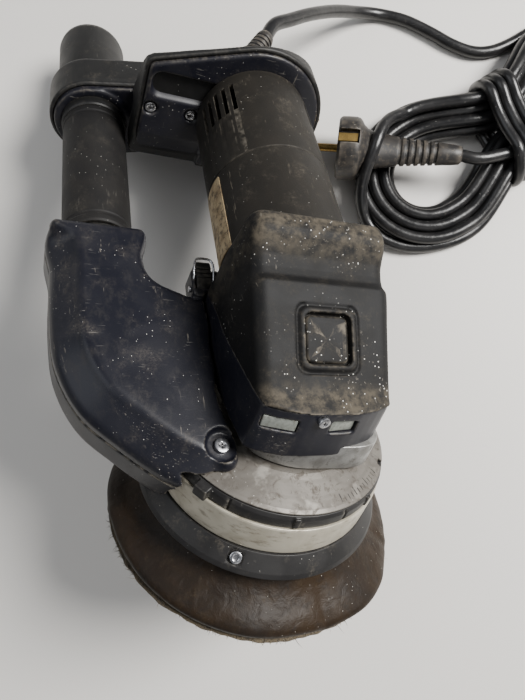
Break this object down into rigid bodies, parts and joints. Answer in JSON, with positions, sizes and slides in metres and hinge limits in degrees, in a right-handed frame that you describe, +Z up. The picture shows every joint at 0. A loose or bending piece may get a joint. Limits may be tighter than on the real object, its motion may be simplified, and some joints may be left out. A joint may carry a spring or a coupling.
{
  "type": "dual mode polisher",
  "caption": "Geared rotary and orbital polisher with a flared hook pad, tubular dust-extraction side handle, and a mains cord tied in a hank beside it.",
  "frame": {"origin": "centre of the box round the tool without its cord, on the table that the tool lies on", "axes": "+Z up from the table; +Y from the pad end to the hose port end, the motor axis seen from above; +X to the tool's right, away from the extraction handle; the tool lies on its pad rim, hose port and rear bridge, so the spindle leans 52 degrees from +Z"},
  "size_m": [0.4008, 0.3626, 0.156],
  "materials": {
    "motor_plastic": "charcoal brown glass-filled plastic, matt and dusty",
    "navy_plastic": "very dark navy moulded plastic, semi-gloss, scuffed along its edges",
    "black_plastic": "black plastic, satin",
    "rubber": "black rubber, matt, with beige polishing dust in its corners",
    "cast_aluminium": "cast and turned aluminium, stained",
    "satin_silver": "satin silver lacquer gone cream, smeared",
    "steel": "bright zinc-plated steel",
    "gear_steel": "hardened steel, lightly greased",
    "core_steel": "stacked electrical steel",
    "copper": "enamelled copper wire",
    "brass": "plain brass",
    "pad_foam": "moulded brown polyurethane, dusty",
    "hook_fabric": "black hook fabric, frayed at the rim",
    "circuit_board": "potted electronics module",
    "cord_jacket": "black rubber cable, slightly shiny"
  },
  "bodies": {
    "housing": {"field_housing": "motor_plastic", "brush_housing": "motor_plastic", "front_bearing_plate": "cast_aluminium", "front_bearing": "steel", "rear_bearing": "steel", "field_core": "core_steel", "field_winding": "copper", "carbon_brush_left": "brass", "carbon_brush_right": "brass", "head_cover": "rubber", "head_cover_screw": "steel", "gear_housing": "cast_aluminium", "graduated_flange": "cast_aluminium", "hood_band": "satin_silver", "hood_skirt": "black_plastic", "hood_screw_1": "steel", "hood_screw_2": "steel", "hood_screw_3": "steel", "drive_ring_gear": "gear_steel", "spindle_bearing_lower": "steel", "spindle_bearing_upper": "steel", "duct_upper_shell": "navy_plastic", "duct_lower_shell": "navy_plastic", "duct_screw_1": "steel", "duct_screw_2": "steel", "latch_pin": "steel", "extraction_tube": "black_plastic", "grip_sleeve": "rubber", "grip_collar": "black_plastic", "hose_port": "black_plastic", "bridge_front_shell": "navy_plastic", "bridge_screw_1": "steel", "bridge_screw_2": "steel", "bridge_rear_cover": "black_plastic", "cord_boot": "rubber", "speed_module": "circuit_board", "cord_lead": "cord_jacket", "cord_hank": "cord_jacket", "plug_body": "rubber", "plug_pin_front": "brass", "plug_pin_rear": "brass"},
    "armature": {"armature_shaft": "steel", "pinion": "gear_steel", "armature_core": "core_steel", "armature_winding": "copper", "commutator": "brass", "cooling_fan": "black_plastic"},
    "spindle": {"spindle": "gear_steel", "crown_gear": "gear_steel", "eccentric_hub": "gear_steel"},
    "pad": {"pad_bearing": "steel", "pad_gear": "gear_steel", "backing_pad": "pad_foam", "hook_layer": "hook_fabric", "pad_screw": "steel"},
    "mode_ring": {"mode_ring": "black_plastic"},
    "lock_button": {"spindle_lock_button": "rubber"},
    "power_slide": {"power_slide": "black_plastic"},
    "speed_dial": {"speed_dial": "black_plastic"},
    "latch": {"duct_latch": "black_plastic"}
  },
  "joints": [
    {"name": "spindle_spin", "type": "hinge", "parent": "housing", "child": "spindle", "pos_m": [0.03798, -0.05394, 0.12538], "axis": [0.4247, 0.667, 0.6122], "continuous": true},
    {"name": "armature_spin", "type": "hinge", "parent": "housing", "child": "armature", "pos_m": [0.03798, -0.05394, 0.12538], "axis": [0, 0.9044, -0.4267], "continuous": true},
    {"name": "pad_spin", "type": "hinge", "parent": "spindle", "child": "pad", "pos_m": [-0.00578, -0.12666, 0.05806], "axis": [0.4247, 0.667, 0.6122], "continuous": true},
    {"name": "mode_ring_turn", "type": "hinge", "parent": "housing", "child": "mode_ring", "pos_m": [0.01662, -0.08749, 0.09459], "axis": [0.4247, 0.667, 0.6122], "range_deg": [0, 35]},
    {"name": "lock_button_press", "type": "slide", "parent": "housing", "child": "lock_button", "axis": [-0.4152, 0.0076, -0.9097], "range_m": [0, 0.0012], "stiffness_N_per_m": 800},
    {"name": "power_slide_travel", "type": "slide", "parent": "housing", "child": "power_slide", "axis": [0, 0.9044, -0.4267], "range_m": [0, 0.006]},
    {"name": "speed_dial_turn", "type": "hinge", "parent": "housing", "child": "speed_dial", "pos_m": [0.00225, 0.11352, 0.05648], "axis": [0.0929, 0.9876, 0.1269], "range_deg": [0, 270]},
    {"name": "latch_swing", "type": "hinge", "parent": "housing", "child": "latch", "pos_m": [-0.00365, -0.01485, 0.09927], "axis": [0.8921, -0.1928, -0.4087], "range_deg": [0, 30], "stiffness_Nm_per_rad": 0.08}
  ],
  "couplings": [
    {"joint": "armature_spin", "follows": "spindle_spin", "ratio": 3},
    {"joint": "pad_spin", "follows": "spindle_spin", "ratio": -1.0588}
  ]
}
